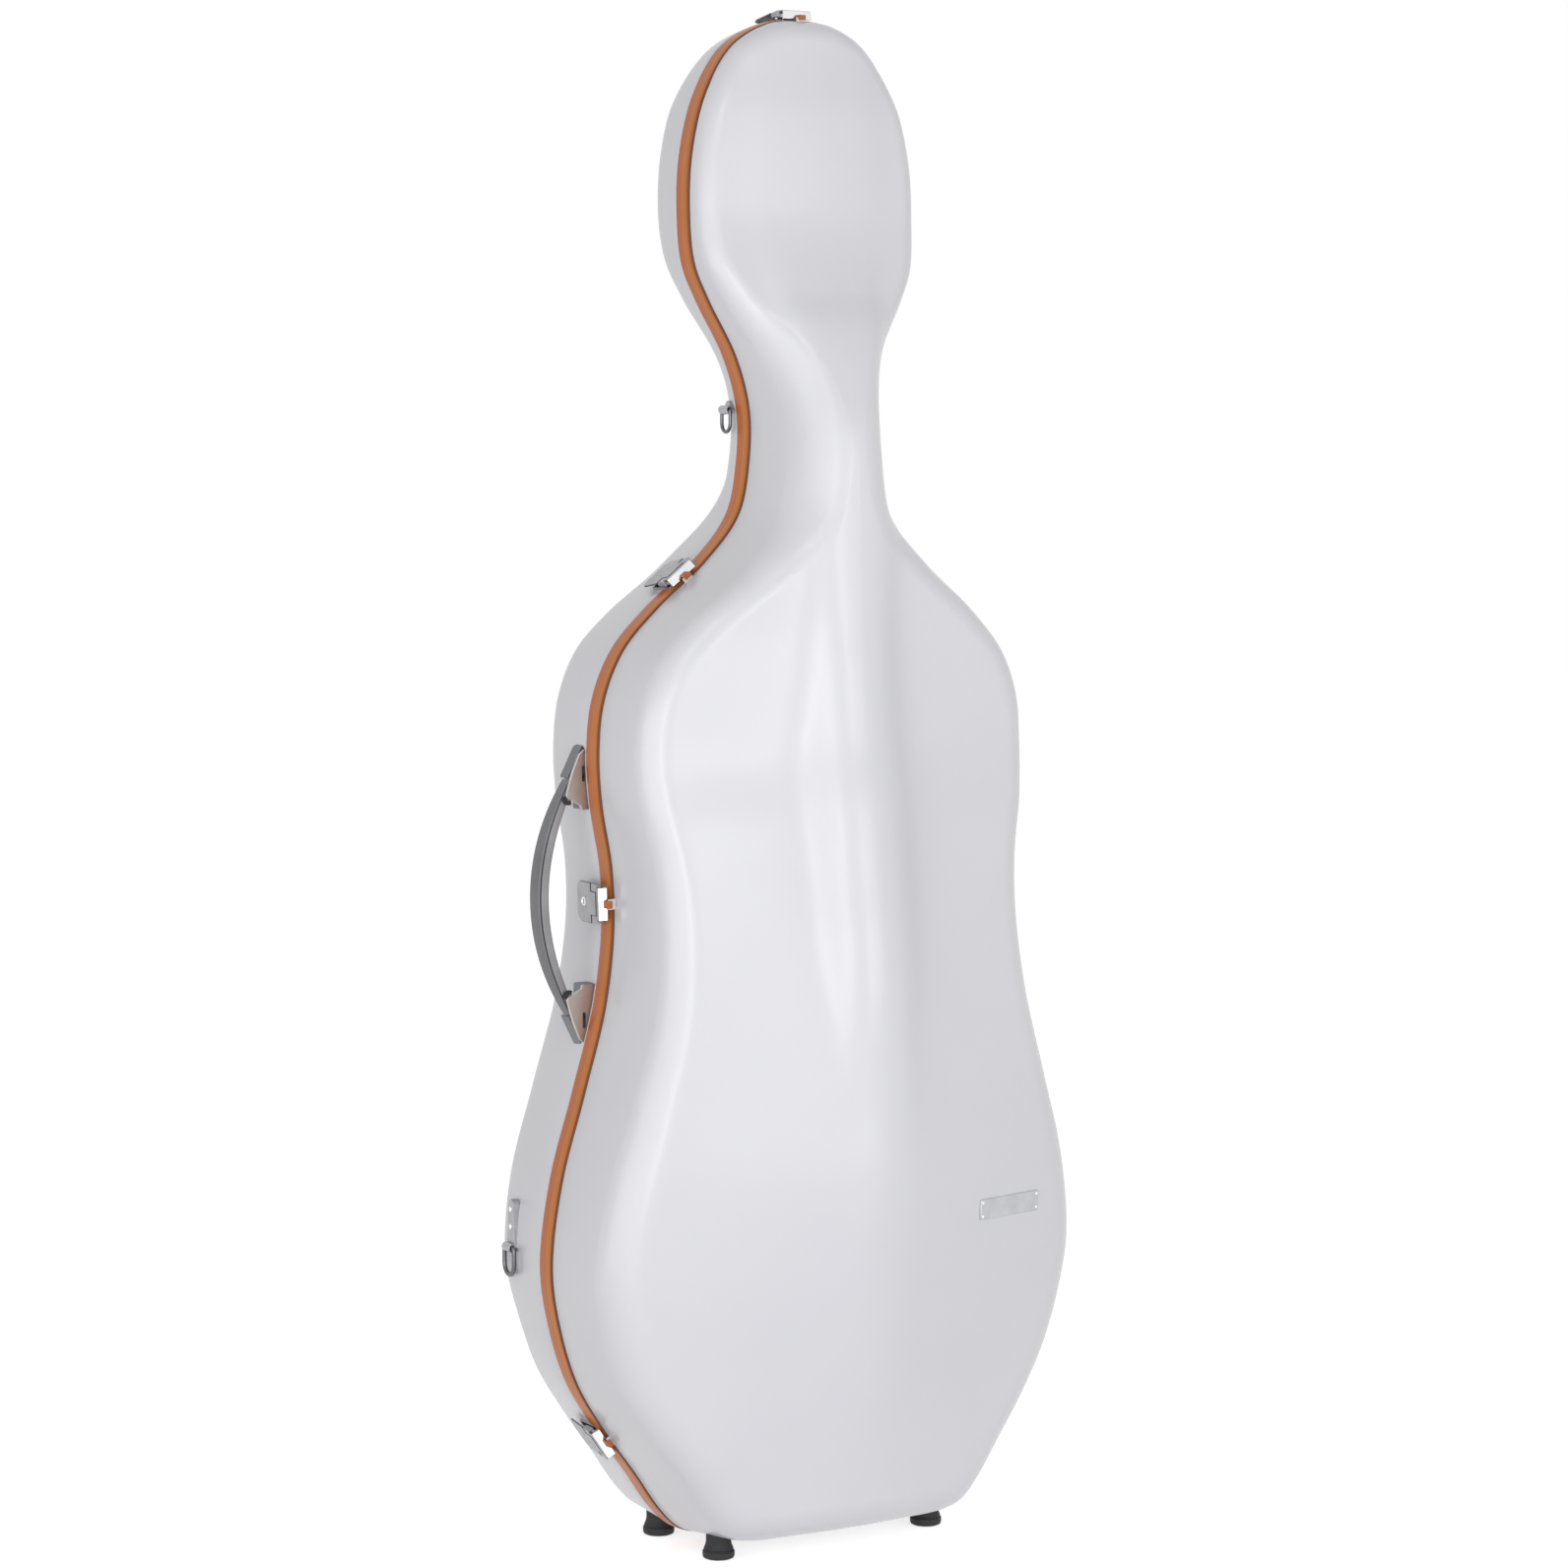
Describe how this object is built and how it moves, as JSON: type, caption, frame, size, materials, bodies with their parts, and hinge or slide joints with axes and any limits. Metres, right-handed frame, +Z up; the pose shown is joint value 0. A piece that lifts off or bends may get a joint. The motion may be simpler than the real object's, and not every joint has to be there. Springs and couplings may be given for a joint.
{
  "type": "cello hard case",
  "caption": "Hard shell case for a cello, standing on rubber feet, with a hinged lid, draw latches, a swinging side handle and strap rings.",
  "frame": {"origin": "middle of the floor area under the closed case, on the floor", "axes": "+Z up towards the head of the case, -Y out of the lid, -X towards the handle and latches"},
  "size_m": [0.5168, 0.2702, 1.3354],
  "materials": {
    "shell": "glossy pearl white lacquer",
    "seal": "satin orange-brown edge profile",
    "lining": "grey plush over moulded foam",
    "cushion": "dark grey plush",
    "foam": "dark plush over firm foam",
    "foot": "matt black",
    "lever": "satin nickel",
    "polished": "polished",
    "hardware": "satin nickel",
    "grip": "soft matt grey",
    "plate": "satin, bare",
    "clip": "matt grey"
  },
  "bodies": {
    "back": {"back_shell": "shell", "rim_seal": "seal", "back_lining": "lining", "bottom_cushion": "cushion", "neck_cradle": "foam", "neck_strap": "cushion", "shoulder_cushion_left": "cushion", "shoulder_cushion_right": "cushion", "lower_cushion_left": "cushion", "lower_cushion_right": "cushion", "back_foot_left": "foot", "back_foot_right": "foot", "latch_base_top": "hardware", "latch_pin_top": "hardware", "latch_base_shoulder": "hardware", "latch_pin_shoulder": "hardware", "latch_base_waist": "hardware", "latch_pin_waist": "hardware", "latch_base_lower": "hardware", "latch_pin_lower": "hardware", "upper_handle_bracket": "hardware", "upper_handle_pin": "hardware", "lower_handle_bracket": "hardware", "lower_handle_pin": "hardware", "hinge_back_leaf_upper": "hardware", "hinge_pin_upper": "hardware", "hinge_back_leaf_lower": "hardware", "hinge_pin_lower": "hardware", "upper_left_strap_plate": "hardware", "upper_right_strap_plate": "hardware", "lower_left_strap_plate": "hardware", "lower_right_strap_plate": "hardware"},
    "lid": {"lid_shell": "shell", "lid_lining": "lining", "name_plate": "plate", "lid_foot_left": "foot", "lid_foot_right": "foot", "bow_rest": "foam", "latch_keeper_top": "hardware", "latch_keeper_shoulder": "hardware", "latch_keeper_waist": "hardware", "latch_keeper_lower": "hardware", "hinge_lid_leaf_upper": "hardware", "hinge_lid_leaf_lower": "hardware"},
    "lever_top": {"latch_lever_top": "lever"},
    "hook_top": {"latch_hook_top": "polished"},
    "lever_shoulder": {"latch_lever_shoulder": "lever"},
    "hook_shoulder": {"latch_hook_shoulder": "polished"},
    "lever_waist": {"latch_lever_waist": "lever"},
    "hook_waist": {"latch_hook_waist": "polished"},
    "lever_lower": {"latch_lever_lower": "lever"},
    "hook_lower": {"latch_hook_lower": "polished"},
    "lock": {"lock_cylinder": "hardware"},
    "handle": {"handle_grip": "grip"},
    "lower_left_ring": {"lower_left_strap_ring": "hardware"},
    "lower_right_ring": {"lower_right_strap_ring": "hardware"},
    "upper_left_ring": {"upper_left_strap_ring": "hardware"},
    "upper_right_ring": {"upper_right_strap_ring": "hardware"},
    "bow_clip_left": {"bow_clip_left": "clip"},
    "bow_clip_right": {"bow_clip_right": "clip"}
  },
  "joints": [
    {"name": "lid_hinge", "type": "hinge", "parent": "back", "child": "lid", "pos_m": [0.2515, 0.00142, 0.28699], "axis": [-0.1077, 0, 0.9942], "range_deg": [0, 110]},
    {"name": "lever_top_pivot", "type": "hinge", "parent": "back", "child": "lever_top", "pos_m": [-0.00415, 0.01332, 1.3302], "axis": [1, 0, 0], "range_deg": [0, 90]},
    {"name": "hook_top_pivot", "type": "hinge", "parent": "lever_top", "child": "hook_top", "pos_m": [-0.00415, 0.01832, 1.3305], "axis": [1, 0, 0], "range_deg": [-90, 0]},
    {"name": "lever_shoulder_pivot", "type": "hinge", "parent": "back", "child": "lever_shoulder", "pos_m": [-0.12245, 0.01332, 0.84953], "axis": [0.7856, 0, 0.6187], "range_deg": [0, 90]},
    {"name": "hook_shoulder_pivot", "type": "hinge", "parent": "lever_shoulder", "child": "hook_shoulder", "pos_m": [-0.12264, 0.01832, 0.84977], "axis": [0.7856, 0, 0.6187], "range_deg": [-90, 0]},
    {"name": "lever_waist_pivot", "type": "hinge", "parent": "back", "child": "lever_waist", "pos_m": [-0.20107, 0.01332, 0.56899], "axis": [-0.0366, 0, 0.9993], "range_deg": [0, 90]},
    {"name": "hook_waist_pivot", "type": "hinge", "parent": "lever_waist", "child": "hook_waist", "pos_m": [-0.20137, 0.01832, 0.56898], "axis": [-0.0366, 0, 0.9993], "range_deg": [-90, 0]},
    {"name": "lever_lower_pivot", "type": "hinge", "parent": "back", "child": "lever_lower", "pos_m": [-0.20208, 0.01332, 0.10315], "axis": [-0.5781, 0, 0.816], "range_deg": [0, 90]},
    {"name": "hook_lower_pivot", "type": "hinge", "parent": "lever_lower", "child": "hook_lower", "pos_m": [-0.20232, 0.01832, 0.10297], "axis": [-0.5781, 0, 0.816], "range_deg": [-90, 0]},
    {"name": "lock_turn", "type": "hinge", "parent": "lever_waist", "child": "lock", "pos_m": [-0.20227, 0.03782, 0.56894], "axis": [-0.9993, 0, -0.0366], "range_deg": [0, 90]},
    {"name": "handle_swing", "type": "hinge", "parent": "back", "child": "handle", "pos_m": [-0.21834, 0.03432, 0.57401], "axis": [0, 0, 1], "range_deg": [-85, 0]},
    {"name": "lower_left_ring_swing", "type": "hinge", "parent": "back", "child": "lower_left_ring", "pos_m": [-0.25379, 0.07866, 0.26749], "axis": [0.0872, 0.9962, 0], "range_deg": [0, 110]},
    {"name": "lower_right_ring_swing", "type": "hinge", "parent": "back", "child": "lower_right_ring", "pos_m": [0.2455, 0.07866, 0.26749], "axis": [0.0872, -0.9962, 0], "range_deg": [0, 110]},
    {"name": "upper_left_ring_swing", "type": "hinge", "parent": "back", "child": "upper_left_ring", "pos_m": [-0.06087, 0.03166, 0.99086], "axis": [0.0887, 0.9961, 0], "range_deg": [0, 110]},
    {"name": "upper_right_ring_swing", "type": "hinge", "parent": "back", "child": "upper_right_ring", "pos_m": [0.05258, 0.03166, 0.99086], "axis": [0.0887, -0.9961, 0], "range_deg": [0, 110]},
    {"name": "bow_clip_left_turn", "type": "hinge", "parent": "lid", "child": "bow_clip_left", "pos_m": [-0.01815, -0.06192, 0.6034], "axis": [0, 1, 0], "range_deg": [0, 90]},
    {"name": "bow_clip_right_turn", "type": "hinge", "parent": "lid", "child": "bow_clip_right", "pos_m": [0.00985, -0.06192, 0.6034], "axis": [0, -1, 0], "range_deg": [0, 90]}
  ],
  "couplings": [
    {"joint": "hook_top_pivot", "follows": "lever_top_pivot", "ratio": -1},
    {"joint": "hook_shoulder_pivot", "follows": "lever_shoulder_pivot", "ratio": -1},
    {"joint": "hook_waist_pivot", "follows": "lever_waist_pivot", "ratio": -1},
    {"joint": "hook_lower_pivot", "follows": "lever_lower_pivot", "ratio": -1}
  ]
}
